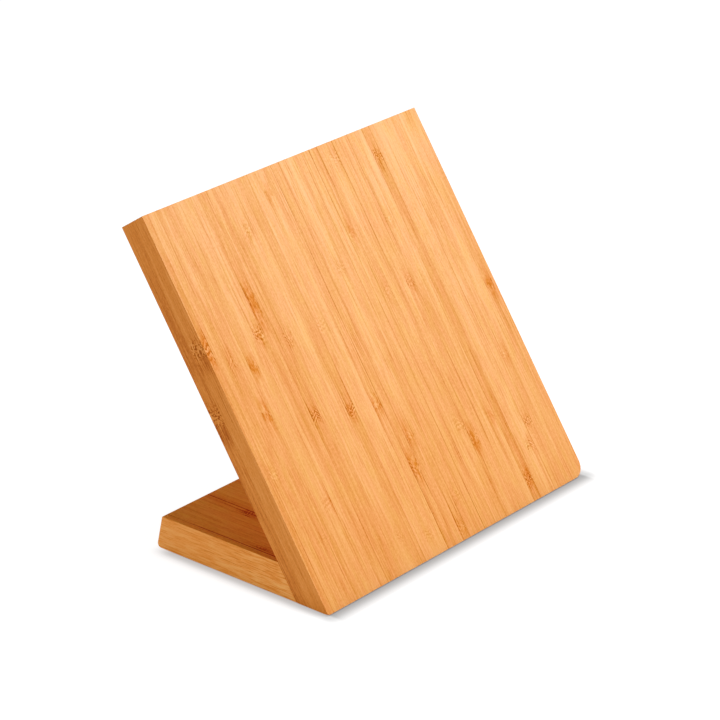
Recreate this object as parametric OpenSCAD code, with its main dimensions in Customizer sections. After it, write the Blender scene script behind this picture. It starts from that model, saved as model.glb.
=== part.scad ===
// Magnetic knife stand in laminated bamboo: a leaning board of two glued panels on a base slab.
// Origin: centre of the footprint, at the table. +X to the right, the front faces -Y, +Z up.

/* [Board] */
// Width of the board and of the base
board_w = 233; // [200:1:260]
// Length of the board's face, from the table up the slope
board_l = 240; // [200:1:280]
// Thickness of the front panel
front_t = 10.2; // [9.5:0.1:14]
// Thickness of the back panel
back_t = 9; // [6:0.1:14]
// Angle between the board and the table, in degrees
lean = 56.5; // [50:0.5:70]
// Radius of the bottom left corner of the board's face
corner_left_r = 1.5; // [1:0.5:10]
// Radius of the bottom right corner of the board's face
corner_right_r = 8.5; // [1:0.5:10]

/* [Base] */
// Distance from the board's front edge to the rear of the base
base_reach = 129; // [100:1:150]
// Thickness of the base slab
base_t = 20.6; // [20:0.1:30]
// How far the rear end slopes in from bottom to top
rear_inset = 4.7; // [1:0.1:12]
// Radius of the edge where the rear end meets the underside
rear_edge_r = 2.5; // [1:0.5:5]

/* [Magnets] */
// Diameter of a disc magnet
magnet_d = 20; // [12:1:25]
// Thickness of a disc magnet
magnet_t = 8; // [4:0.5:8]
// Magnets in each row
magnets_per_row = 6; // [3:1:6]
// Distance between neighbouring magnets in a row
magnet_pitch = 36; // [28:1:38]
// Distance between the three rows
row_pitch = 62; // [40:1:66]
// Gap around each magnet in its pocket
pocket_gap = 0.2; // [0.1:0.05:0.5]

/* [Dowels] */
// Diameter of a dowel
dowel_d = 8; // [6:1:8]
// Length of a dowel, half of it in the board
dowel_l = 24; // [16:1:24]
// Distance between neighbouring dowels
dowel_pitch = 56; // [40:1:60]
// Distance from the board's front edge up to the dowels, along the slope
dowel_height = 28; // [27:0.5:30]

/* [Feet] */
// Diameter of a rubber foot
foot_d = 12; // [8:1:16]
// Thickness of a rubber foot
foot_t = 2; // [1.5:0.1:3]
// How far a foot stands proud of the bamboo
foot_proud = 0.8; // [0.4:0.1:1.2]
// Distance from a foot's centre to the side of the base
foot_side = 18; // [12:1:30]

/* [Hidden] */
$fn = 64;
DOWELS = 4;
FEET = 4;
ROWS = ["low", "mid", "top"];
board_t = front_t + back_t;
// Overall depth, from the board's bottom front edge to its top back edge
total_depth = max(base_reach, board_l * cos(lean) + board_t * sin(lean));
// Where the level bottom of the board ends and the base begins, behind the front edge
joint_y = board_t / sin(lean);
// Heights of the three magnet rows up the slope, the middle one a little above the face's centre
magnet_rows = [for (row = [-1, 0, 1]) board_l / 2 + 5 + row * row_pitch];
// The feet's distances behind the front edge
foot_front_y = joint_y + 14;
foot_rear_y = base_reach - 14;
// Glue gap around a dowel and around a foot
dowel_gap = 0.05;
foot_gap = 0.2;
// Glue flutes along a dowel
flutes = 10;
flute_r = 0.6;
// A cut goes this far past the surface that it opens
past = 1;
BAMBOO = [0.95, 0.68, 0.42];
BAMBOO_BACK = [0.80, 0.53, 0.28];
BAMBOO_BASE = [0.86, 0.60, 0.36];

MAGNETS = [for (row = ROWS) for (i = [1:magnets_per_row]) str("magnet_", row, "_", i)];

// Level frame: the board's bottom front edge lies along X at y = 0, z = 0
module level() {
    translate([0, -total_depth / 2, foot_proud]) children();
}

// Board frame: x across, y up the slope, z out of the front face, which is the plane z = 0
module on_board() {
    level() rotate([lean, 0, 0]) children();
}

// Extrudes a side profile, drawn as [y, z] points, across the width w
module across(w) {
    translate([-w / 2, 0, 0]) rotate([90, 0, 90]) linear_extrude(w) children();
}

// Outline of the board's face, with its two bottom corners rounded
module board_outline() {
    left = -board_w / 2 + corner_left_r;
    right = board_w / 2 - corner_right_r;
    translate([left, 0]) square([right - left, board_l]);
    translate([-board_w / 2, corner_left_r]) square([board_w - corner_right_r, board_l - corner_left_r]);
    translate([left, corner_right_r]) square([board_w - corner_left_r, board_l - corner_right_r]);
    translate([left, corner_left_r]) circle(corner_left_r);
    translate([right, corner_right_r]) circle(corner_right_r);
}

// One layer of the board between the depths z_front and z_back, its bottom cut level with the table
module board_layer(z_front, z_back) {
    cut_front = -z_front / tan(lean);
    cut_back = -z_back / tan(lean);
    intersection() {
        across(board_w)
            polygon([[cut_front, z_front], [board_l, z_front], [board_l, z_back], [cut_back, z_back]]);
        translate([0, 0, z_back]) linear_extrude(z_front - z_back) board_outline();
    }
}

// Centre of magnet i of a row, in the board frame
function magnet_at(row, i) = [(i - (magnets_per_row + 1) / 2) * magnet_pitch, magnet_rows[row], -front_t];

// Centre of dowel i on the board's back face, in the board frame
function dowel_at(i) = [(i - (DOWELS + 1) / 2) * dowel_pitch, dowel_height, -board_t];

// Centre of foot i on the underside of the base, in the level frame
function foot_at(i) = [
    (i % 2 == 0 ? 1 : -1) * (board_w / 2 - foot_side),
    i <= 2 ? foot_front_y : foot_rear_y,
    0
];

// Every dowel hole, centred on the joint between board and base
module dowel_holes() {
    for (i = [1:DOWELS])
        translate(dowel_at(i)) cylinder(h = dowel_l + 2 * dowel_gap, d = dowel_d + 2 * dowel_gap, center = true);
}

// Front layer: a pocket for each magnet is milled from behind, leaving a thin skin at the face
module front_panel() {
    color(BAMBOO) on_board() difference() {
        board_layer(0, -front_t);
        for (row = [0:2]) for (i = [1:magnets_per_row])
            translate(magnet_at(row, i) - [0, 0, past])
                cylinder(h = magnet_t + pocket_gap + past, d = magnet_d + 2 * pocket_gap);
        dowel_holes();
    }
}

// Back layer: closes the pockets, and the dowels pass through it
module back_panel() {
    color(BAMBOO_BACK) on_board() difference() {
        board_layer(-front_t, -board_t);
        dowel_holes();
    }
}

// Side profile of the base: front end on the board's back, rear end sloping in, lower rear edge rounded
module base_profile() {
    rear_angle = atan(base_t / rear_inset);
    tangent = rear_edge_r / tan(rear_angle / 2);
    polygon([
        [joint_y, 0],
        [base_reach - tangent, 0],
        [base_reach - tangent * cos(rear_angle), tangent * sin(rear_angle)],
        [base_reach - rear_inset, base_t],
        [joint_y + base_t / tan(lean), base_t]
    ]);
    translate([base_reach - tangent, rear_edge_r]) circle(rear_edge_r);
}

// Base slab, with dowel holes in its front end and a shallow pocket for each foot underneath
module base_block() {
    color(BAMBOO_BASE) difference() {
        level() across(board_w) base_profile();
        on_board() dowel_holes();
        level() for (i = [1:FEET])
            translate(foot_at(i) - [0, 0, past])
                cylinder(h = foot_t - foot_proud + past, d = foot_d + 2 * foot_gap);
    }
}

// Disc magnet in its pocket, against the panel's skin
module magnet(row, i) {
    color("silver") on_board() translate(magnet_at(row, i) + [0, 0, pocket_gap / 2])
        cylinder(h = magnet_t, d = magnet_d);
}

// Fluted dowel across the joint
module dowel(i) {
    color("burlywood") on_board() translate(dowel_at(i)) difference() {
        cylinder(h = dowel_l, d = dowel_d, center = true);
        for (k = [0:flutes - 1])
            rotate([0, 0, k * 360 / flutes]) translate([dowel_d / 2, 0, 0])
                cylinder(h = dowel_l + past, r = flute_r, center = true);
    }
}

module foot(i) {
    color("dimgray") level() translate(foot_at(i) - [0, 0, foot_proud]) cylinder(h = foot_t, d = foot_d);
}

front_panel();
back_panel();
base_block();
for (row = [0:2]) for (i = [1:magnets_per_row])
    magnet(row, i);
for (i = [1:DOWELS])
    dowel(i);
for (i = [1:FEET])
    foot(i);
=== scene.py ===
import math
import random

import bmesh
import bpy
from mathutils import Matrix, Quaternion, Vector


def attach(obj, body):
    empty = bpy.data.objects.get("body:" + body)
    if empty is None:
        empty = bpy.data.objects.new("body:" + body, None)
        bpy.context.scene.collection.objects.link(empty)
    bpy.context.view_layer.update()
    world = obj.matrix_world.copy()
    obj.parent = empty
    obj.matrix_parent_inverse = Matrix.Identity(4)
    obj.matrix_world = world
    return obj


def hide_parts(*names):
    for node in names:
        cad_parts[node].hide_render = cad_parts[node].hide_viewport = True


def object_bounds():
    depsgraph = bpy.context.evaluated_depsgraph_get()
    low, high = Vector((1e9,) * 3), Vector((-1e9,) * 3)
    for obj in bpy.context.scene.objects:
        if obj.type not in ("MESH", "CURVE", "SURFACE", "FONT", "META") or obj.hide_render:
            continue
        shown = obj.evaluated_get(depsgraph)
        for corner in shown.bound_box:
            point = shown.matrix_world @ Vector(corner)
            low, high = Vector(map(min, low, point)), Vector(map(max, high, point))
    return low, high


# Magnetic knife stand in laminated bamboo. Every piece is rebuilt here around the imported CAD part,
# with eased arrises and with the strips that its panels are laminated from.

MM = 0.001
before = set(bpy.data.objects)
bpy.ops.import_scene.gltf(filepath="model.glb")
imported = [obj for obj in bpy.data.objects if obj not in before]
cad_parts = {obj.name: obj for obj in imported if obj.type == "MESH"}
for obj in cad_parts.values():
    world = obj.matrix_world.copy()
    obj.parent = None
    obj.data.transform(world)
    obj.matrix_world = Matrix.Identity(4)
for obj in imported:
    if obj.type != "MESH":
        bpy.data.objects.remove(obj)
cad_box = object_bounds()
rng = random.Random(7)

# ------------------------------------------------------------ sizes, in millimetres
LEAN = math.radians(56.5)               # from the table
BOARD_W, BOARD_L = 233.0, 240.0
FRONT_T, BACK_T = 10.2, 9.0
BOARD_T = FRONT_T + BACK_T
CORNER_LEFT_R, CORNER_RIGHT_R = 1.5, 8.5
BASE_REACH, BASE_T, REAR_INSET, REAR_EDGE_R = 129.0, 20.6, 4.7, 2.5
JOINT_Y = BOARD_T / math.sin(LEAN)      # where the base begins, behind the board's front edge
MAGNET_D, MAGNET_T, POCKET_GAP = 20.0, 8.0, 0.2
MAGNET_PITCH, ROW_PITCH, MAGNETS_PER_ROW = 36.0, 62.0, 6
ROWS = ("low", "mid", "top")
ROW_LIFT = 5.0                          # the middle row is this far above the face's centre
DOWELS = 4
DOWEL_D, DOWEL_L, DOWEL_PITCH, DOWEL_HEIGHT, DOWEL_GAP = 8.0, 24.0, 56.0, 28.0, 0.05
FOOT_D, FOOT_T, FOOT_PROUD, FOOT_GAP = 12.0, 2.0, 0.8, 0.2
FOOT_SIDE, FOOT_INSET = 18.0, 14.0      # from a foot's centre to the base's side and to its ends
PAST = 1.0                              # a cut starts this far outside the surface that it opens

# Eased arrises: the face's, the back's, the rear top edge of the base, and all the others
FACE_ARRIS, BACK_ARRIS, REAR_ARRIS, ARRIS = 0.35, 0.45, 0.8, 0.3

# The strips that a panel is laminated from
PITCH = 6.65
STRIPS = 37                             # enough for the whole width
BOARD_FIRST, BASE_FIRST = 4.5, 4.0      # what is left of the first strip, at the left side

# Material slots of a panel: along the fibres, the flat side of one strip, and across the fibres
NARROW, BROAD, END = 0, 1, 2
SIDE_ZONE = 1.2                         # faces of a side lie within this, eased arrises included

NEAR = 1e-3                             # coordinates this close are taken to be the same
TURNS = 64                              # sides of a round piece or hole

front_y = cad_box[0].y                  # the board's front edge, in metres

# Level frame: x across, y to the rear from that edge, z up from the underside of the base
level = Matrix.Translation((0, front_y, FOOT_PROUD * MM)) @ Matrix.Scale(MM, 4)
# Board frame: x across, y up the slope, z into the board from its front face
board = level @ Matrix.Rotation(LEAN, 4, "X") @ Matrix.Diagonal((1, 1, -1, 1))


# ------------------------------------------------------------ mesh helpers
def to_mesh(bm, name):
    mesh = bpy.data.meshes.new(name)
    bm.to_mesh(mesh)
    bm.free()
    return mesh


def new_object(name, data):
    o = bpy.data.objects.new(name, data)
    bpy.context.scene.collection.objects.link(o)
    return o


def prism(bm, outline, lo, hi, place):
    """Closed prism over an outline, between two depths. place(a, b, depth) gives the point."""
    rings = [[bm.verts.new(place(a, b, d)) for a, b in outline] for d in (lo, hi)]
    bm.faces.new(rings[0])
    bm.faces.new(rings[1][::-1])
    n = len(outline)
    for i in range(n):
        j = (i + 1) % n
        bm.faces.new((rings[0][j], rings[0][i], rings[1][i], rings[1][j]))
    bmesh.ops.recalc_face_normals(bm, faces=bm.faces)


def arc(centre, radius, start, end, steps):
    """Points of an arc between two angles in degrees."""
    angles = [math.radians(start + (end - start) * i / steps) for i in range(steps + 1)]
    return [(centre[0] + radius * math.cos(a), centre[1] + radius * math.sin(a)) for a in angles]


def cut_away(bm, point, normal):
    """Removes what lies on the normal's side of a plane, and closes the cut."""
    bmesh.ops.bisect_plane(
        bm, geom=bm.verts[:] + bm.edges[:] + bm.faces[:], dist=1e-4,
        plane_co=point, plane_no=normal, clear_outer=True)
    open_edges = [e for e in bm.edges if e.is_boundary]
    bmesh.ops.holes_fill(bm, edges=open_edges, sides=0)
    bmesh.ops.remove_doubles(bm, verts=bm.verts, dist=1e-4)
    bmesh.ops.recalc_face_normals(bm, faces=bm.faces)


def ease(bm, width, segments, wanted):
    """Bevels the sharp edges for which wanted(edge) is true."""
    sharp = math.radians(25)
    edges = [
        e for e in bm.edges
        if len(e.link_faces) == 2 and e.calc_face_angle() > sharp and wanted(e)
    ]
    bmesh.ops.bevel(
        bm, geom=edges, offset=width, offset_type="OFFSET", segments=segments,
        profile=0.5, affect="EDGES", clamp_overlap=True)


def slice_across(bm, first):
    """Splits the faces along every glue line between strips."""
    x = first - BOARD_W / 2
    while x < BOARD_W / 2 - 0.2:
        bmesh.ops.bisect_plane(
            bm, geom=bm.verts[:] + bm.edges[:] + bm.faces[:], dist=1e-5,
            plane_co=(x, 0, 0), plane_no=(1, 0, 0))
        x += PITCH
    # a cut that passes close to a corner leaves two vertices in one place
    bmesh.ops.remove_doubles(bm, verts=bm.verts, dist=2e-3)


def hole(mouth, axis, diameter, gap, depth):
    """A round hole from its mouth along the axis, as carve() takes it."""
    axis = Vector(axis)
    return mouth - axis * PAST, axis, diameter / 2 + gap, depth + PAST


def carve(bm, holes):
    """Subtracts cylinders, each (centre of its start, axis, radius, length), with an exact boolean."""
    tool = bmesh.new()
    for start, axis, radius, length in holes:
        turn = Vector((0, 0, 1)).rotation_difference(axis).to_matrix().to_4x4()
        place = Matrix.Translation(start) @ turn @ Matrix.Translation((0, 0, length / 2))
        bmesh.ops.create_cone(
            tool, cap_ends=True, segments=TURNS, radius1=radius, radius2=radius, depth=length,
            matrix=place)
    bmesh.ops.recalc_face_normals(tool, faces=tool.faces)
    carved = new_object("carved", to_mesh(bm, "carved"))
    cutter = new_object("cutter", to_mesh(tool, "cutter"))
    modifier = carved.modifiers.new("holes", "BOOLEAN")
    modifier.operation, modifier.solver, modifier.object = "DIFFERENCE", "EXACT", cutter
    bpy.context.view_layer.update()
    depsgraph = bpy.context.evaluated_depsgraph_get()
    result = bpy.data.meshes.new_from_object(carved.evaluated_get(depsgraph))
    out = bmesh.new()
    out.from_mesh(result)
    scratch = [carved.data, cutter.data, result]
    for o in (carved, cutter):
        bpy.data.objects.remove(o)
    for mesh in scratch:
        bpy.data.meshes.remove(mesh)
    return out


def add_piece(name, mesh, nodes, materials, matrix):
    """Puts a finished mesh in the scene in place of its CAD nodes."""
    mesh.transform(matrix)
    if matrix.determinant() < 0:
        # the board's frame is a mirrored one, which would leave the faces inside out
        mesh.flip_normals()
    o = new_object(name, mesh)
    for m in materials:
        mesh.materials.append(m)
    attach(o, "root")
    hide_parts(*nodes)
    return o


# ------------------------------------------------------------ shader helpers
def linear(rgb):
    """A colour given as it looks on screen, 0 to 255, as a shader's linear colour."""
    shares = [v / 255 for v in rgb]
    return tuple(c / 12.92 if c <= 0.04045 else ((c + 0.055) / 1.055) ** 2.4 for c in shares)


class Graph:
    """Builds a material's nodes, with plain arithmetic on sockets or numbers."""

    def __init__(self, name):
        self.material = bpy.data.materials.new(name)
        self.material.use_nodes = True
        self.nodes = self.material.node_tree.nodes
        self.links = self.material.node_tree.links
        self.shader = self.nodes["Principled BSDF"]

    def put(self, socket, value):
        """Links or sets an input. None leaves it as it is."""
        if isinstance(value, bpy.types.NodeSocket):
            self.links.new(value, socket)
        elif value is not None:
            socket.default_value = value

    def op(self, kind, *values, clamp=False):
        n = self.nodes.new("ShaderNodeMath")
        n.operation, n.use_clamp = kind, clamp
        for socket, value in zip(n.inputs, values):
            self.put(socket, value)
        return n.outputs[0]

    def add(self, *v):
        total = v[0]
        for x in v[1:]:
            total = self.op("ADD", total, x)
        return total

    def mul(self, *v):
        total = v[0]
        for x in v[1:]:
            total = self.op("MULTIPLY", total, x)
        return total

    def sub(self, a, b):
        return self.op("SUBTRACT", a, b)

    def swing(self, x, *amount):
        """A value of 0 to 1, such as a noise, as an amount that swings around zero."""
        return self.mul(self.sub(x, 0.5), *amount)

    def clamp(self, a):
        return self.op("ADD", a, 0.0, clamp=True)

    def vec(self, x, y, z):
        n = self.nodes.new("ShaderNodeCombineXYZ")
        for socket, value in zip(n.inputs, (x, y, z)):
            self.put(socket, value)
        return n.outputs[0]

    def split(self, v):
        n = self.nodes.new("ShaderNodeSeparateXYZ")
        self.put(n.inputs[0], v)
        return n.outputs[0], n.outputs[1], n.outputs[2]

    def object_coordinates(self):
        return self.nodes.new("ShaderNodeTexCoord").outputs["Object"]

    def attribute(self, name, output="Fac"):
        n = self.nodes.new("ShaderNodeAttribute")
        n.attribute_name = name
        return n.outputs[output]

    def parts(self, name):
        """The three components of a vector attribute."""
        return self.split(self.attribute(name, "Vector"))

    def noise(self, v, detail=0.0, rough=0.5):
        n = self.nodes.new("ShaderNodeTexNoise")
        self.put(n.inputs["Vector"], v)
        n.inputs["Scale"].default_value = 1.0
        n.inputs["Detail"].default_value = detail
        n.inputs["Roughness"].default_value = rough
        return n.outputs["Fac"]

    def cells(self, v, randomness):
        """Distance to the nearest of some scattered points in a plane."""
        n = self.nodes.new("ShaderNodeTexVoronoi")
        n.voronoi_dimensions = "2D"
        self.put(n.inputs["Vector"], v)
        n.inputs["Scale"].default_value = 1.0
        n.inputs["Randomness"].default_value = randomness
        return n.outputs["Distance"]

    def random3(self, w):
        n = self.nodes.new("ShaderNodeTexWhiteNoise")
        n.noise_dimensions = "1D"
        self.put(n.inputs["W"], w)
        return self.split(n.outputs["Color"])

    def step(self, x, lo, hi, out_lo=0.0, out_hi=1.0):
        """Smooth step from out_lo to out_hi as x goes from lo to hi."""
        n = self.nodes.new("ShaderNodeMapRange")
        n.interpolation_type = "SMOOTHSTEP"
        for socket, value in zip(n.inputs, (x, lo, hi, out_lo, out_hi)):
            self.put(socket, value)
        return n.outputs[0]

    def bell(self, x, width):
        """A bump of height 1 at x = 0, falling off over the width."""
        y = self.op("DIVIDE", x, width)
        return self.op("EXPONENT", self.mul(y, y, -1.0))

    def mix(self, share, a, b, kind="MIX"):
        n = self.nodes.new("ShaderNodeMix")
        n.data_type, n.blend_type = "RGBA", kind
        self.put(n.inputs["Factor"], share)
        for socket, value in zip((n.inputs[6], n.inputs[7]), (a, b)):
            self.put(socket, value if isinstance(value, bpy.types.NodeSocket) else (*value, 1.0))
        return n.outputs[2]

    def ramp(self, x, stops):
        n = self.nodes.new("ShaderNodeValToRGB")
        self.put(n.inputs[0], x)
        elements = n.color_ramp.elements
        while len(elements) < len(stops):
            elements.new(0.5)
        for e, (position, colour) in zip(elements, stops):
            e.position, e.color = position, (*colour, 1.0)
        return n.outputs["Color"]

    def bump(self, height, strength, distance):
        n = self.nodes.new("ShaderNodeBump")
        n.inputs["Strength"].default_value = strength
        n.inputs["Distance"].default_value = distance
        self.put(n.inputs["Height"], height)
        return n.outputs["Normal"]

    def finish(self, colour, roughness, normal, **sockets):
        self.put(self.shader.inputs["Base Color"], colour)
        self.put(self.shader.inputs["Roughness"], roughness)
        self.put(self.shader.inputs["Normal"], normal)
        for name, value in sockets.items():
            self.shader.inputs[name.replace("_", " ")].default_value = value
        return self.material


# ------------------------------------------------------------ bamboo
# Colours from dark to light along the fibres, on a broad side and on end grain, in full light
FACE_TONES = [
    (0.0, (176, 88, 28)), (0.16, (204, 117, 52)), (0.32, (225, 143, 78)), (0.46, (237, 161, 98)),
    (0.56, (243, 172, 110)), (0.70, (249, 184, 124)), (1.0, (254, 206, 150))]
SIDE_TONES = [
    (0.0, (150, 76, 24)), (0.2, (202, 114, 50)), (0.4, (234, 144, 70)), (0.55, (244, 158, 84)),
    (0.72, (250, 170, 96)), (1.0, (255, 192, 118))]
END_TONES = [
    (0.0, (146, 80, 30)), (0.3, (202, 122, 58)), (0.55, (234, 157, 89)), (0.8, (246, 176, 108)),
    (1.0, (252, 192, 126))]
FULL_LIGHT = 1.10    # the light those colours are seen in, against a plain white surface's
RUST = (222, 124, 48)
# Factors on the colour, for patches of wood, and for a painted shade at the lower left and a painted
# sheen at the upper right
PINKER, YELLOWER = (1.01, 0.972, 1.03), (0.988, 1.012, 0.93)
SHADE_TINT_LOWER_LEFT, SHEEN_TINT_UPPER_RIGHT = (1.05, 0.985, 0.86), (0.967, 1.055, 1.16)
WOOD_SHINE = 0.15
# How far a glue line, a knuckle's dark and light marks and its stain shift the tone, which goes from
# 0, the darkest, to 1. The last is how much of a stain's colour is rust
SEAM_SHIFT, DARK_SHIFT, LIGHT_SHIFT, STAIN_SHIFT, RUST_SHARE = -0.26, -0.35, 0.24, -0.08, 0.52

# What a knuckle is drawn from, one vector attribute each, with a component for each of three knuckles:
# its height, its cross lines, its rust, its tail and its size
KNOT_FIELDS = ("knot_at", "knot_wave", "knot_rust", "knot_tail", "knot_size")
NO_KNOT = (-900.0, 0.0, 0.0, 0.0, 1.0)


def albedo(rgb, tint):
    return tuple(v * t / FULL_LIGHT for v, t in zip(linear(rgb), tint))


def tones(stops, tint):
    return [(p, albedo(c, tint)) for p, c in stops]


class Grain:
    """Where a point is in the wood, in millimetres, and what its strip has of its own."""

    def __init__(self, g):
        self.g = g
        self.x, self.u, self.d = g.parts("grain")    # across the strips, along them, and in depth
        strip = g.attribute("strip")
        self.random = g.random3(strip)
        self.tone = g.attribute("tone")
        self.seed = g.mul(strip, 7.31)
        # 0 at the left side of a strip, 1 at its right side
        self.f = g.op("FRACT", g.op("DIVIDE", self.x, PITCH))

    def noise(self, side, per_side, per_along, pattern=0.0, detail=0.0, rough=0.5):
        """Noise that differs from strip to strip. Each number of pattern gives another one."""
        g = self.g
        place = g.vec(g.mul(side, per_side), g.mul(self.u, per_along), g.add(self.seed, pattern))
        return g.noise(place, detail, rough)


def knuckles(g, grain, across, narrow):
    """Gives the fibres' swerve, the rusty stain and the dark and light marks of a strip's knuckles."""
    _, r2, r3 = grain.random
    wobble = g.swing(grain.noise(across, 0.45, 0.05, detail=1.0), 7.0)
    patch = grain.noise(across, 0.33, 0.16, 3.0, 2.0, 0.6)
    ragged = grain.noise(across, 1.3, 0.035, 9.0, 2.0, 0.6)
    broken = grain.noise(across, 0.55, 0.55, 50.0, 1.0)
    edge_side = g.op("ABSOLUTE", g.sub(grain.f, 0.5))
    if narrow:
        dash = g.step(grain.noise(across, 1.5, 0.38, 40.0, 1.0), 0.48, 0.66)
        centred = g.sub(grain.f, 0.5)
        rounded = g.step(edge_side, 0.48, 0.28, 0.25, 1.0)
    else:
        dash = g.step(grain.noise(across, 0.9, 0.9, 40.0, 1.0), 0.47, 0.60)
        centred = g.mul(g.sub(grain.d, g.attribute("middle")), 0.1)
        rounded = 1.0
    # the lines of a knuckle bend up or down towards the middle of the strip
    arch = g.mul(g.sub(g.mul(centred, centred), 0.08), g.swing(r3, 22.0))
    swerve = stain = dark = light = 0.0
    for at, wave, rust, tail, size in zip(*(g.parts(name) for name in KNOT_FIELDS)):
        offset = g.sub(grain.u, at)
        t = g.op("DIVIDE", g.add(offset, wobble, arch), size)
        either = g.op("MAXIMUM", wave, rust)
        if narrow:
            lines = g.op("SINE", g.add(g.mul(t, 3.4), g.mul(broken, 5.0)))
            crossing = g.mul(g.bell(t, 3.0), wave)
            mark = g.add(
                g.mul(crossing, g.step(lines, 0.0, 0.9), g.step(broken, 0.34, 0.62), wave, 0.95),
                g.mul(g.bell(t, 3.6), dash, either, either, 0.75),
                g.mul(g.bell(t, 5.0), g.step(patch, 0.35, 0.60), either, 0.30))
            glint = g.mul(crossing, g.step(lines, 0.0, -0.8))
            # a tail of darker fibres, longer on one side of the knuckle
            distance = g.op("ABSOLUTE", g.add(offset, g.swing(r2, 14.0)))
            reach = g.op("EXPONENT", g.mul(distance, -0.065))
            sides = g.step(edge_side, 0.05, 0.4, 0.5, 1.0)
            trail = g.mul(reach, g.step(ragged, 0.46, 0.66), tail, sides)
        else:
            mark = g.mul(g.bell(t, 5.0), dash, wave, 0.85)
            glint = g.mul(g.bell(t, 4.0), g.sub(1.0, dash), wave, 0.7)
            # darker fibres just below the knuckle
            below = g.bell(g.add(t, 9.5), 6.0)
            trail = g.mul(below, g.step(ragged, 0.3, 0.65, 0.25, 1.0), tail, 0.75)
        swerve = g.add(swerve, g.mul(g.bell(t, 7.0), either))
        stain = g.add(stain, g.mul(g.bell(t, 6.0), g.step(patch, 0.32, 0.58), rust, rounded))
        dark = g.add(dark, mark, trail)
        light = g.add(light, glint)
    return swerve, stain, dark, light


def glue_lines(g, grain, left, right):
    """Fine dark lines at the sides of each strip, faint in places and not quite straight."""
    x, u, f = grain.x, grain.u, grain.f
    wander = g.swing(g.noise(g.vec(x, g.mul(u, 0.03), 7.7), 1.0), 0.3)
    line = g.op("ROUND", g.op("DIVIDE", x, PITCH))
    faint = g.step(g.noise(g.vec(line, g.mul(u, 0.02), 3.3), 1.0), 0.3, 0.6, 0.35, 1.0)
    from_left = g.add(g.mul(f, PITCH), wander)
    from_right = g.sub(g.mul(g.sub(1.0, f), PITCH), wander)
    return g.mul(faint, g.add(
        g.mul(g.step(from_left, 0.50, 0.05), left), g.mul(g.step(from_right, 0.50, 0.05), right)))


def bamboo(name, narrow=True, tint=(1.0, 1.0, 1.0), ripple=0.0):
    """Bamboo along its fibres: narrow, edge-glued strips, or else the flat side of one strip."""
    g = Graph(name)
    grain = Grain(g)
    x, u, d, seed = grain.x, grain.u, grain.d, grain.seed
    r1 = grain.random[0]
    across = x if narrow else d

    # fibres swerve around a knuckle, and wander slowly everywhere
    swerve, stain, dark, light = knuckles(g, grain, across, narrow)
    drift = g.swing(grain.noise(across, 0.5, 0.11, 21.0, 1.0), 3.5, swerve)
    slow = g.swing(g.noise(g.vec(seed, g.mul(u, 0.02), 4.0)), 1.2)
    a = g.add(across, drift, slow)

    fine = grain.noise(a, 2.0, 0.085, 0.0, 3.0, 0.65)
    middle = grain.noise(a, 0.75, 0.013, 5.0, 1.0)
    long_tone = g.noise(g.vec(seed, g.mul(u, 0.013), 11.0), 1.0)
    cloud = grain.noise(across, 0.12, 0.035, 31.0, 1.0)
    zone = g.noise(g.vec(g.mul(x, 0.035), g.mul(u, 0.015), g.mul(d, 0.05)), 1.0)
    grit = g.noise(g.vec(g.mul(a, 1.2), g.mul(u, 0.62), g.mul(d, 1.2)), 2.0, 0.7)

    # the tone
    v = g.add(
        grain.tone, 0.5,
        g.swing(fine, g.step(zone, 0.35, 0.65, 0.30, 0.58)),
        g.swing(middle, 0.32),
        g.swing(long_tone, 0.16),
        g.swing(cloud, 0.18),
        g.swing(grit, 0.40),
    )
    if ripple:
        # short wavy fibres, strongest towards the joint
        bend = g.mul(grain.noise(across, 0.2, 0.09, detail=1.0), 2.4)
        waves = grain.noise(g.add(g.mul(across, 1.55), bend), 1.0, 0.10, 61.0, 1.0)
        v = g.add(v, g.swing(g.step(waves, 0.36, 0.64), g.step(u, 110.0, 40.0, 0.65, 1.0), ripple))
    # sparse darker streaks, and thin long threads
    streak = g.step(grain.noise(a, 1.25, 0.018, 17.0, 1.5, 0.55), 0.58, 0.76)
    thread = g.step(g.op("ABSOLUTE", g.sub(grain.noise(a, 0.7, 0.008, 13.0), 0.5)), 0.045, 0.0)
    v = g.sub(v, g.add(g.mul(streak, 0.18), g.mul(thread, g.step(cloud, 0.4, 0.7), 0.16)))
    seam = 0.0
    if narrow:
        left, right, skin = g.parts("edges")
        # fibres are packed closer towards the outer skin of the culm, on one side of each strip
        v = g.add(v, g.swing(grain.f, skin, 0.20))
        seam = glue_lines(g, grain, left, right)
        v = g.add(v, g.mul(seam, SEAM_SHIFT))
    v = g.add(v, g.mul(dark, DARK_SHIFT), g.mul(light, LIGHT_SHIFT), g.mul(stain, STAIN_SHIFT))

    colour = g.ramp(g.clamp(v), tones(FACE_TONES if narrow else SIDE_TONES, tint))
    colour = g.mix(g.mul(g.clamp(stain), RUST_SHARE), colour, albedo(RUST, tint))
    if narrow:
        # patches of a pinker and of a yellower wood
        patches = g.noise(g.vec(g.mul(x, 0.22), g.mul(u, 0.045), g.mul(d, 0.2)), 2.0, 0.6)
        hue = g.add(patches, g.mul(r1, 0.10))
        colour = g.mix(g.step(hue, 0.52, 0.66), colour, PINKER, "MULTIPLY")
        colour = g.mix(g.step(hue, 0.52, 0.38), colour, YELLOWER, "MULTIPLY")
        # painted sheen: the colour is paler towards the upper right, and deeper, as in shade, towards
        # the lower left
        painted_sheen_share = g.step(g.add(g.mul(u, 0.72), g.mul(x, 0.31)), 0.0, 245.0)
        colour = g.mix(1.0, colour, g.mix(painted_sheen_share, SHADE_TINT_LOWER_LEFT, SHEEN_TINT_UPPER_RIGHT), "MULTIPLY")

    height = g.add(g.mul(fine, 0.6), g.mul(grit, 0.4), g.mul(dark, -0.5), g.mul(seam, -0.5))
    roughness = g.step(g.add(fine, g.mul(dark, -0.3)), 0.2, 0.8, 0.62, 0.48)
    return g.finish(colour, roughness, g.bump(height, 0.22, 0.00012), Specular_IOR_Level=WOOD_SHINE)


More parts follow.
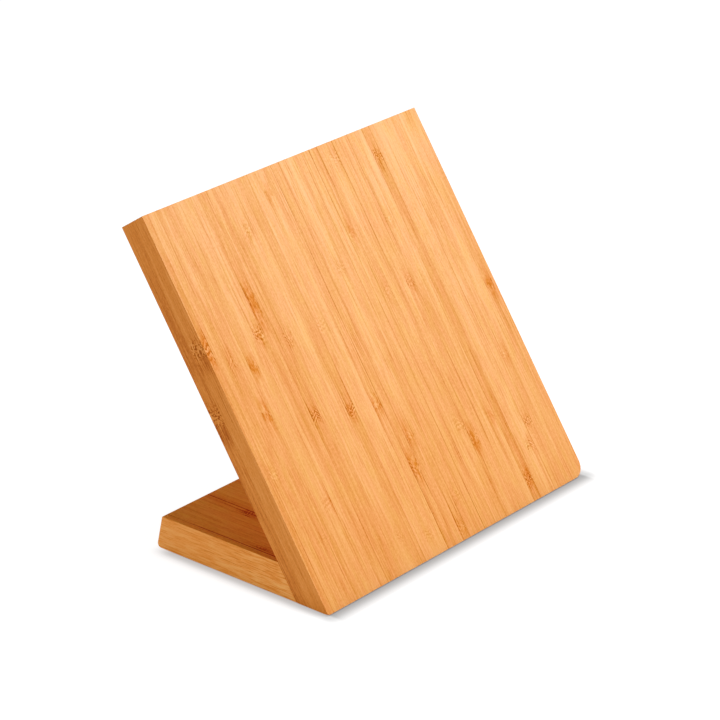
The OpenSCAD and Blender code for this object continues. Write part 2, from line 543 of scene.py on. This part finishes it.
def end_grain(name):
    """Bamboo cut across its fibre bundles: dark dots, packed towards one side of each strip."""
    g = Graph(name)
    grain = Grain(g)
    x, f, seed = grain.x, grain.f, grain.seed
    r1, r2, _ = grain.random
    toward_skin = g.add(g.swing(f, g.op("SIGN", g.sub(r1, 0.5))), 0.5)
    spread = g.add(1.75, g.mul(toward_skin, 0.9))
    depth = g.add(grain.d, g.mul(grain.u, 0.35))
    place = g.vec(g.add(g.mul(f, spread, PITCH), seed), g.mul(depth, 1.25), 0.0)
    distance = g.cells(place, 0.85)
    dots = g.step(distance, 0.46, 0.16)
    halo = g.step(distance, 0.7, 0.3)
    cloth = g.noise(g.vec(g.mul(x, 0.35), g.mul(depth, 0.3), seed), 2.0)
    grit = g.noise(g.vec(g.mul(x, 4.0), g.mul(depth, 4.0), seed), 2.0, 0.7)
    gap = g.mul(g.op("MINIMUM", f, g.sub(1.0, f)), PITCH)
    seam = g.step(gap, 0.4, 0.08)
    v = g.add(
        grain.tone, 0.60, g.mul(dots, -0.22), g.mul(halo, -0.07), g.swing(cloth, 0.3),
        g.swing(grit, 0.22), g.mul(toward_skin, -0.14), g.swing(r2, 0.16))
    v = g.sub(v, g.mul(seam, 0.3))
    colour = g.ramp(g.clamp(v), tones(END_TONES, (1.0, 1.0, 1.0)))
    height = g.sub(g.mul(grit, 0.5), g.add(g.mul(dots, 0.5), g.mul(seam, 0.6)))
    return g.finish(colour, 0.66, g.bump(height, 0.35, 0.00015), Specular_IOR_Level=WOOD_SHINE)


# ------------------------------------------------------------ the strips' own looks
# Knuckles given for the front face: strip, height up the slope, then the strength of the
# cross lines, the rust and the tails, where 1 is plain to see, and the size
FRONT_KNOTS = [
    (0, 158, 1.0, 1.0, 1.0, 2.0), (7, 172, 0.3, 1.0, 1.0, 2.6), (6, 155, 1.0, 0.5, 1.0, 1.3),
    (4, 140, 0.2, 1.0, 0.4, 1.2), (3, 113, 0.3, 1.0, 0.7, 1.4), (8, 101, 1.0, 0.2, 0.8, 1.2),
    (12, 95, 1.0, 0.5, 0.7, 1.2), (15, 92, 0.3, 0.9, 0.1, 1.2), (16, 50, 0.7, 1.0, 1.7, 1.5),
    (24, 49, 0.5, 1.0, 0.3, 1.3), (28, 14, 1.0, 0.6, 1.0, 1.2), (28, 222, 0.8, 0.5, 0.6, 1.1),
    (34, 126, 0.2, 0.9, 0.1, 1.5), (2, 147, 0.5, 0.2, 0.3, 1.3), (9, 146, 0.6, 0.2, 0.2, 1.2),
    (13, 146, 0.5, 0.1, 0.1, 1.3), (10, 210, 0.6, 0.2, 0.5, 1.3), (14, 225, 0.3, 0.5, 0.4, 1.5),
    (23, 230, 0.7, 0.0, 0.1, 1.1), (21, 185, 0.4, 0.6, 0.3, 1.3), (18, 170, 0.5, 0.3, 0.5, 1.2),
    (22, 147, 0.4, 0.3, 0.6, 1.3), (25, 147, 0.6, 0.2, 0.5, 1.3), (26, 186, 0.4, 0.2, 0.1, 1.2),
    (17, 68, 0.4, 0.6, 0.8, 1.3), (23, 60, 0.6, 0.1, 0.2, 1.2), (27, 57, 0.3, 0.5, 0.1, 1.1),
    (32, 85, 0.4, 0.5, 0.3, 1.2), (31, 43, 0.9, 0.1, 0.1, 1.1), (30, 30, 0.9, 0.3, 0.2, 1.0),
    (5, 55, 0.5, 0.1, 0.5, 1.4), (1, 82, 0.5, 0.3, 0.5, 1.4), (3, 38, 0.3, 0.1, 0.2, 1.0),
    (11, 20, 0.4, 0.1, 0.2, 1.2), (14, 12, 0.5, 0.2, 0.2, 1.2), (18, 6, 0.6, 0.5, 1.2, 1.2),
    (19, 25, 0.5, 0.2, 0.2, 1.2),
]
# Glue lines of the front face that show most, by the strip on their right. The others are under 0.4
FRONT_SEAMS = {
    1: 0.5, 6: 0.5, 8: 0.9, 12: 0.4, 13: 0.6, 16: 1.3, 17: 0.8, 20: 0.7, 21: 1.2, 22: 0.8, 24: 0.9,
    26: 0.7, 28: 0.8, 29: 0.5, 31: 0.6}
# Strips of the front face that stand out: lighter or darker
FRONT_TONES = {
    0: -0.07, 2: -0.04, 3: -0.02, 6: -0.02, 7: -0.03, 10: 0.02, 12: -0.05, 13: 0.03, 14: 0.01,
    15: 0.01, 20: 0.02, 22: 0.03, 28: -0.08, 29: 0.02, 30: 0.02, 31: 0.03, 33: 0.02}

# The same for the top of the base, where only the strips at the left show past the board
BASE_KNOTS = [(5, 89, 1.0, 0.0, 2.2, 0.9), (1, 55, 0.4, 0.0, 1.8, 1.6)]
BASE_SEAMS = {1: 2.6, 3: 0.4, 5: 0.3, 6: 1.6}
BASE_TONES = {0: -0.05, 1: -0.02, 2: -0.04, 3: 0.03, 4: 0.02, 5: -0.07, 6: -0.02, 7: 0.03}
BASE_SHOWN = 9    # strips at the left that get no random knuckles

# Broad sides, the left one and the right one: tone, and knuckles without the strip's number
FRONT_SIDES = ((-0.08, [(162, 1.0, 0.4, 0.75, 1.0)]), (0.0, [(84, 0.8, 0.3, 0.8, 1.0)]))
BACK_SIDES = ((-0.15, [(124, 1.0, 0.2, 0.8, 1.1)]), (-0.03, [(190, 0.8, 0.3, 0.8, 1.0)]))
BASE_SIDES = ((0.12, []), (-0.02, [(60, 0.8, 0.3, 0.8, 1.0)]))

# Numbers that keep the random values of the panels, and of their broad sides, apart
FRONT_SEED, BACK_SEED, BASE_SEED, BROAD_SEED = 0, 100, 200, 60


def three(knots):
    return (knots + [NO_KNOT] * 3)[:3]


def strip_looks(knots, named_tones, named_seams, spread=0.035, random_from=0):
    """The tone, knuckles and edges of each strip. Strips from random_from on get random knuckles."""
    looks = []
    seams = [named_seams.get(s, rng.uniform(0.0, 0.4)) for s in range(STRIPS + 1)]
    for s in range(STRIPS):
        tone = named_tones.get(s, 0.0) + rng.uniform(-spread, spread)
        own = [k[1:] for k in knots if k[0] == s]
        if s >= random_from:
            # one every 150 to 260 mm, some of them hardly seen
            at = rng.uniform(-90, 110)
            while at < BOARD_L + 10:
                if at > 3:
                    strength = rng.choice((0.24, 0.4, 0.5, 0.8))
                    wave = strength * rng.uniform(0.4, 1.0)
                    rust = strength * rng.uniform(0.1, 1.0)
                    tail = strength * rng.uniform(0.1, 0.9)
                    own.append((at, wave, rust, tail, rng.uniform(1.0, 1.6)))
                at += rng.uniform(150, 260)
        looks.append((tone, three(own), (seams[s], seams[s + 1], rng.uniform(-0.5, 0.5))))
    return looks


def dress(bm, name, first, looks, sides, seed, mode_of, middle):
    """Turns a panel, in millimetres, into a mesh that stores what the bamboo materials read.

    looks has each strip's look, sides those of the two broad sides, whose middle has that depth.
    mode_of(centre, normal) gives the material slot of a face."""
    bm.normal_update()
    rows = []
    for face in bm.faces:
        c = face.calc_center_median()
        face.material_index = mode_of(c, face.normal)
        face.smooth = True
        if face.material_index == BROAD:
            side = 0 if c.x < 0 else 1
            tone, knots = sides[side]
            rows.append((seed + BROAD_SEED + side, tone, three(knots), (0.0, 0.0, 0.0)))
        else:
            strip = int(math.floor((c.x + BOARD_W / 2 - first) / PITCH)) + 1
            rows.append((seed + strip, *looks[strip]))
    sharp = math.radians(50)
    for edge in bm.edges:
        edge.smooth = len(edge.link_faces) == 2 and edge.calc_face_angle() < sharp
    points = [(v.co.x + BOARD_W / 2 - first, v.co.y, v.co.z) for v in bm.verts]
    mesh = to_mesh(bm, name)

    def store(label, values, vector=False, domain="FACE"):
        kind, field = ("FLOAT_VECTOR", "vector") if vector else ("FLOAT", "value")
        mesh.attributes.new(label, kind, domain).data.foreach_set(field, values)

    store("grain", [c for p in points for c in p], True, "POINT")
    store("strip", [float(number) for number, _, _, _ in rows])
    store("tone", [tone for _, tone, _, _ in rows])
    store("middle", [middle] * len(rows))
    store("edges", [c for _, _, _, edges in rows for c in edges], True)
    for i, label in enumerate(KNOT_FIELDS):
        store(label, [k[i] for _, _, knots, _ in rows for k in knots], True)
    return mesh


def add_panel(name, mesh, node, materials, matrix):
    """Adds a laminated piece, whose flat faces stay flat where they meet an eased arris."""
    o = add_piece(name, mesh, [node], materials, matrix)
    m = o.modifiers.new("crisp", "WEIGHTED_NORMAL")
    m.weight = 100
    m.keep_sharp = True


# ------------------------------------------------------------ the board's two panels
def panel(depth_lo, depth_hi, arris_lo, arris_hi):
    """One layer of the board in the board's frame, between two depths."""
    bm = bmesh.new()
    half = BOARD_W / 2
    right, left = CORNER_RIGHT_R, CORNER_LEFT_R
    outline = (
        arc((half - right, right), right, -90, 0, 16)
        + [(half, BOARD_L), (-half, BOARD_L)]
        + arc((-half + left, left), left, 180, 270, 6))
    prism(bm, outline, depth_lo, depth_hi, lambda a, b, d: (a, b, d))
    # the bottom is cut level with the table
    cut_away(bm, (0, 0, 0), (0, -math.sin(LEAN), math.cos(LEAN)))
    for depth, width, segments in ((depth_lo, arris_lo, 2), (depth_hi, arris_hi, 3)):
        if width:
            ease(bm, width, segments, lambda e: all(abs(v.co.z - depth) < NEAR for v in e.verts))
    # the two upper corners, along the depth
    ease(bm, ARRIS, 2, lambda e: abs((e.verts[0].co - e.verts[1].co).normalized().z) > 0.95
         and all(v.co.y > BOARD_L - 1.5 for v in e.verts))
    return bm


def magnet_centre(row, i):
    """Centre of a magnet at the face's plane, in the board's frame."""
    x = (i - (MAGNETS_PER_ROW - 1) / 2) * MAGNET_PITCH
    return Vector((x, BOARD_L / 2 + ROW_LIFT + (row - 1) * ROW_PITCH, 0))


def dowel_centre(i):
    return Vector(((i - (DOWELS - 1) / 2) * DOWEL_PITCH, DOWEL_HEIGHT, BOARD_T))


def on_side(centre, normal):
    """Whether a face of a panel lies on its left or right side."""
    return abs(normal.x) > 0.7 and abs(centre.x) > BOARD_W / 2 - SIDE_ZONE


def board_mode(c, n):
    if abs(n.z) > 0.7:
        return NARROW
    return BROAD if on_side(c, n) else END


DOWEL_HOLE_DEPTH = DOWEL_L / 2 + DOWEL_GAP
dowel_holes = [
    hole(dowel_centre(i), (0, 0, -1), DOWEL_D, DOWEL_GAP, DOWEL_HOLE_DEPTH) for i in range(DOWELS)]
pockets = [
    hole(magnet_centre(row, i) + Vector((0, 0, FRONT_T)), (0, 0, -1), MAGNET_D, POCKET_GAP,
         MAGNET_T + POCKET_GAP)
    for row in range(len(ROWS)) for i in range(MAGNETS_PER_ROW)]

end = end_grain("bamboo_end_grain")
board_materials = [
    bamboo("bamboo_strips"),
    bamboo("bamboo_broad_side", narrow=False, tint=(0.93, 0.93, 0.96)), end]
# painted shade: the base's top and underside are tinted a deeper orange, as its top looks in the shade
# under the board
base_materials = [
    bamboo("bamboo_base_strips", tint=(1.01, 1.06, 0.76)),
    bamboo("bamboo_base_side", narrow=False, tint=(0.97, 0.91, 0.84), ripple=0.40), end]

front_looks = strip_looks(FRONT_KNOTS, FRONT_TONES, FRONT_SEAMS, random_from=STRIPS)
back_looks = strip_looks([], {}, {}, spread=0.06)
base_looks = strip_looks(BASE_KNOTS, BASE_TONES, BASE_SEAMS, random_from=BASE_SHOWN)

bm = carve(panel(0, FRONT_T, FACE_ARRIS, 0), pockets + dowel_holes)
slice_across(bm, BOARD_FIRST)
mesh = dress(bm, "bamboo_front_panel", BOARD_FIRST, front_looks, FRONT_SIDES, FRONT_SEED,
             board_mode, FRONT_T / 2)
add_panel("bamboo_front_panel", mesh, "front_panel", board_materials, board)

bm = carve(panel(FRONT_T, BOARD_T, 0, BACK_ARRIS), dowel_holes)
slice_across(bm, BOARD_FIRST)
mesh = dress(bm, "bamboo_back_panel", BOARD_FIRST, back_looks, BACK_SIDES, BACK_SEED,
             board_mode, FRONT_T + BACK_T / 2)
add_panel("bamboo_back_panel", mesh, "back_panel", board_materials, board)


# ------------------------------------------------------------ the base slab
def on_joint(p):
    """Whether a point of the level frame lies on the board's back face."""
    return abs((p.y - JOINT_Y) * math.sin(LEAN) - p.z * math.cos(LEAN)) < 10 * NEAR


def slab():
    """The base in the level frame."""
    bm = bmesh.new()
    rear_angle = math.degrees(math.atan2(BASE_T, REAR_INSET))
    tangent = REAR_EDGE_R / math.tan(math.radians(rear_angle) / 2)
    rear_top = BASE_REACH - REAR_INSET
    profile = [(JOINT_Y, 0)]
    profile += arc((BASE_REACH - tangent, REAR_EDGE_R), REAR_EDGE_R, -90, 90 - rear_angle, 8)
    profile += [(rear_top, BASE_T), (JOINT_Y + BASE_T / math.tan(LEAN), BASE_T)]
    prism(bm, profile, -BOARD_W / 2, BOARD_W / 2, lambda a, b, d: (d, a, b))
    ease(bm, REAR_ARRIS, 3, lambda e: all(
        v.co.z > BASE_T - NEAR and v.co.y > rear_top - NEAR for v in e.verts))
    ease(bm, ARRIS, 2, lambda e: not all(on_joint(v.co) for v in e.verts))
    return bm


def base_mode(c, n):
    if on_side(c, n):
        return BROAD
    return NARROW if abs(n.z) > 0.8 else END


def to_level(p):
    """A point of the board's frame, in the level frame."""
    s, c = math.sin(LEAN), math.cos(LEAN)
    return Vector((p.x, p.y * c + p.z * s, p.y * s - p.z * c))


into_base = (0, math.sin(LEAN), -math.cos(LEAN))
base_holes = [
    hole(to_level(dowel_centre(i)), into_base, DOWEL_D, DOWEL_GAP, DOWEL_HOLE_DEPTH)
    for i in range(DOWELS)]
feet = [
    Vector((side * (BOARD_W / 2 - FOOT_SIDE), y, 0))
    for y in (JOINT_Y + FOOT_INSET, BASE_REACH - FOOT_INSET) for side in (-1, 1)]
foot_pockets = [hole(p, (0, 0, 1), FOOT_D, FOOT_GAP, FOOT_T - FOOT_PROUD) for p in feet]

bm = carve(slab(), base_holes + foot_pockets)
slice_across(bm, BASE_FIRST)
mesh = dress(bm, "bamboo_base", BASE_FIRST, base_looks, BASE_SIDES, BASE_SEED, base_mode, BASE_T / 2)
add_panel("bamboo_base", mesh, "base_block", base_materials, level)


# ------------------------------------------------------------ magnets, dowels and feet
def lathe(profile, turns, radius_at=None):
    """Closed solid of revolution about z. profile is (radius, z) from bottom to top, its ends on the
    axis. Each vertex stores its own place, in millimetres, for the material."""
    bm = bmesh.new()
    rings = []
    for radius, z in profile:
        if radius == 0:
            rings.append([bm.verts.new((0, 0, z))])
            continue
        ring = []
        for k in range(turns):
            angle = 2 * math.pi * k / turns
            r = radius_at(radius, angle) if radius_at else radius
            ring.append(bm.verts.new((r * math.cos(angle), r * math.sin(angle), z)))
        rings.append(ring)
    for a, b in zip(rings, rings[1:]):
        for k in range(turns):
            j = (k + 1) % turns
            if len(a) == 1:
                bm.faces.new((a[0], b[j], b[k]))
            elif len(b) == 1:
                bm.faces.new((a[k], a[j], b[0]))
            else:
                bm.faces.new((a[k], a[j], b[j], b[k]))
    bmesh.ops.recalc_face_normals(bm, faces=bm.faces)
    mesh = to_mesh(bm, "lathe")
    mesh.shade_smooth()
    mesh.set_sharp_from_angle(angle=math.radians(35))
    grain = mesh.attributes.new("grain", "FLOAT_VECTOR", "POINT")
    grain.data.foreach_set("vector", [c for v in mesh.vertices for c in v.co])
    return mesh


def nickel():
    g = Graph("nickel_plate")
    n = g.nodes.new("ShaderNodeVectorMath")
    n.operation = "SCALE"
    g.put(n.inputs[0], g.object_coordinates())
    n.inputs["Scale"].default_value = 1 / MM
    p = n.outputs[0]
    fog = g.noise(p, 3.0, 0.6)
    x, y, z = g.split(p)
    scratch = g.noise(g.vec(g.mul(x, 0.4), g.mul(y, 5.0), g.mul(z, 5.0)), 2.0)
    colour = g.mix(g.step(fog, 0.3, 0.7), linear((188, 186, 180)), linear((208, 206, 200)))
    rough = g.add(g.step(fog, 0.3, 0.7, 0.16, 0.3), g.mul(scratch, 0.08))
    return g.finish(colour, rough, g.bump(scratch, 0.1, 0.00005), Metallic=1.0)


def beech():
    g = Graph("beech_dowel")
    x, y, z = g.parts("grain")
    fibres = g.noise(g.vec(g.mul(x, 2.0), g.mul(y, 2.0), g.mul(z, 0.08)), 3.0, 0.6)
    flecks = g.noise(g.vec(g.mul(x, 4.0), g.mul(y, 4.0), g.mul(z, 0.7)), 1.0)
    v = g.add(g.mul(fibres, 0.8), g.mul(g.step(flecks, 0.62, 0.72), -0.25))
    stops = ((0.0, (150, 100, 60)), (0.4, (205, 160, 112)), (0.7, (224, 186, 140)))
    colour = g.ramp(g.clamp(v), [(p, linear(c)) for p, c in stops])
    return g.finish(colour, 0.6, g.bump(fibres, 0.3, 0.0001))


def rubber():
    g = Graph("foot_rubber")
    p = g.attribute("grain", "Vector")
    grit = g.noise(p, 3.0, 0.7)
    dust = g.step(g.noise(p, 1.0), 0.5, 0.8)
    colour = g.mix(g.mul(dust, 0.3), linear((44, 44, 45)), linear((84, 82, 78)))
    roughness = g.step(grit, 0.3, 0.7, 0.7, 0.85)
    return g.finish(colour, roughness, g.bump(grit, 0.25, 0.00008))


def flute(r, angle):
    """The dowel's radius, with ten glue flutes along it."""
    return r - 0.45 * max(0.0, math.cos(10 * angle)) ** 3


nickel_material, beech_material, rubber_material = nickel(), beech(), rubber()

R, T = MAGNET_D / 2, MAGNET_T
ROUND, NIP = 0.5, 0.15    # the magnet's edge is rounded over the first, and stands in by the second
magnet_profile = [
    (0, 0), (R - ROUND, 0), (R - NIP, NIP), (R, ROUND),
    (R, T - ROUND), (R - NIP, T - NIP), (R - ROUND, T), (0, T)]
for row, label in enumerate(ROWS):
    for i in range(MAGNETS_PER_ROW):
        seat = magnet_centre(row, i) + Vector((0, 0, FRONT_T - T - POCKET_GAP / 2))
        add_piece(f"disc_magnet_{label}_{i + 1}", lathe(magnet_profile, TURNS),
                  [f"magnet_{label}_{i + 1}"], [nickel_material],
                  board @ Matrix.Translation(seat))

R, T = DOWEL_D / 2, DOWEL_L / 2
# the ends are chamfered
dowel_profile = [(0, -T), (R - 0.8, -T), (R, -T + 1.0), (R, T - 1.0), (R - 0.8, T), (0, T)]
for i in range(DOWELS):
    add_piece(f"beech_dowel_{i + 1}", lathe(dowel_profile, 120, flute),
              [f"dowel_{i + 1}"], [beech_material],
              board @ Matrix.Translation(dowel_centre(i)))

R, T = FOOT_D / 2, FOOT_T
# the underside is slightly dished, with a rounded rim
foot_profile = [
    (0, 0.15), (R - 2.2, 0.1), (R - 1.4, 0.0), (R - 0.6, 0.0), (R - 0.2, 0.15), (R, 0.5),
    (R, T), (0, T)]
for i, p in enumerate(feet):
    add_piece(f"rubber_foot_{i + 1}", lathe(foot_profile, TURNS),
              [f"foot_{i + 1}"], [rubber_material],
              level @ Matrix.Translation(p - Vector((0, 0, FOOT_PROUD))))


# ------------------------------------------------------------ floor, wall, light and camera, in metres
FLOOR_HALF = 12.0
WALL_R, WALL_H = 11.5, 1.6
FLOOR_GLOW, WALL_GLOW = 0.94, 0.93
LIGHT_TARGET = (0, 0, 0.1)
CAMERA_TARGET = (-0.01898, -0.01424, 0.1031)


def painted_contact_shadow(g):
    """Painted contact shadow: how much of the floor's glow is lost around the object's footprint, from
    0 far away to 1.
    """
    x, y, _ = g.split(g.object_coordinates())
    rear_y = front_y + BASE_REACH * MM
    half, across = BOARD_W / 2 * MM, g.op("ABSOLUTE", x)
    beside = g.op("MAXIMUM", g.sub(across, half), 0.0)
    before = g.op("MAXIMUM", g.sub(front_y, y), 0.0)
    return g.mul(
        g.bell(before, 0.0079), g.bell(beside, 0.0053), g.step(across, half - 0.003, half, 0.81, 0.52),
        g.step(y, rear_y + 0.004, rear_y - 0.012))


def glowing(g, glow):
    """A dull surface that looks white by its own glow."""
    g.put(g.shader.inputs["Emission Strength"], glow)
    return g.finish((0.25, 0.25, 0.25, 1.0), 0.9, None, Specular_IOR_Level=0.0,
                    Emission_Color=(1.0, 1.0, 1.0, 1.0))


def make_floor():
    """A light table: its own glow keeps the shadows on it faint, and a painted contact shadow dims
    that glow close around the object.
    """
    bm = bmesh.new()
    bmesh.ops.create_grid(bm, x_segments=8, y_segments=8, size=FLOOR_HALF)
    floor = new_object("floor", to_mesh(bm, "floor"))
    g = Graph("pale_floor")
    glow = g.mul(FLOOR_GLOW, g.sub(1.0, painted_contact_shadow(g)))
    floor.data.materials.append(glowing(g, glow))


def make_wall():
    """A low white wall far around the floor, so that a level view has no dark horizon."""
    bm = bmesh.new()
    bmesh.ops.create_cone(
        bm, cap_ends=False, segments=96, radius1=WALL_R, radius2=WALL_R, depth=WALL_H,
        matrix=Matrix.Translation((0, 0, WALL_H / 2)))
    wall = new_object("wall", to_mesh(bm, "wall"))
    wall.data.materials.append(glowing(Graph("white_wall"), WALL_GLOW))


def aim(o, target, azimuth, elevation, distance, roll=0.0):
    """Puts a light or a camera where it looks at the target. Angles in degrees; azimuth 0
    looks along +Y."""
    a, e = math.radians(azimuth), math.radians(elevation)
    back = Vector((math.sin(a) * math.cos(e), -math.cos(a) * math.cos(e), math.sin(e)))
    o.location = Vector(target) + back * distance
    o.rotation_mode = "QUATERNION"
    turn = Quaternion((0, 0, 1), math.radians(roll))
    o.rotation_quaternion = (-back).to_track_quat("-Z", "Y") @ turn


make_floor()
make_wall()

scene = bpy.context.scene
world = bpy.data.worlds.new("studio")
world.use_nodes = True
background = world.node_tree.nodes["Background"]
background.inputs["Color"].default_value = (1, 1, 1, 1)
background.inputs["Strength"].default_value = 0.28
scene.world = world

# one square, soft key light
key = bpy.data.lights.new("key", "AREA")
key.shape, key.size, key.energy, key.color = "SQUARE", 0.70, 8.25, (1, 1, 1)
aim(new_object("key", key), LIGHT_TARGET, azimuth=36, elevation=64, distance=0.90)

camera_data = bpy.data.cameras.new("camera")
camera_data.sensor_width, camera_data.lens = 36.0, 161.30
camera_data.clip_start, camera_data.clip_end = 0.05, 60
camera = new_object("camera", camera_data)
aim(camera, CAMERA_TARGET, azimuth=-49.544, elevation=23.771, distance=1.8194, roll=-0.19)
scene.camera = camera

# the contrast of a product photograph: deeper shades, and highlights held back a little
scene.view_settings.view_transform = "Standard"
scene.view_settings.use_curve_mapping = True
mapping = scene.view_settings.curve_mapping
all_channels = mapping.curves[3]
for x, y in ((0.03, 0.014), (0.09, 0.082), (0.30, 0.325), (0.60, 0.63)):
    all_channels.points.new(x, y)
mapping.update()
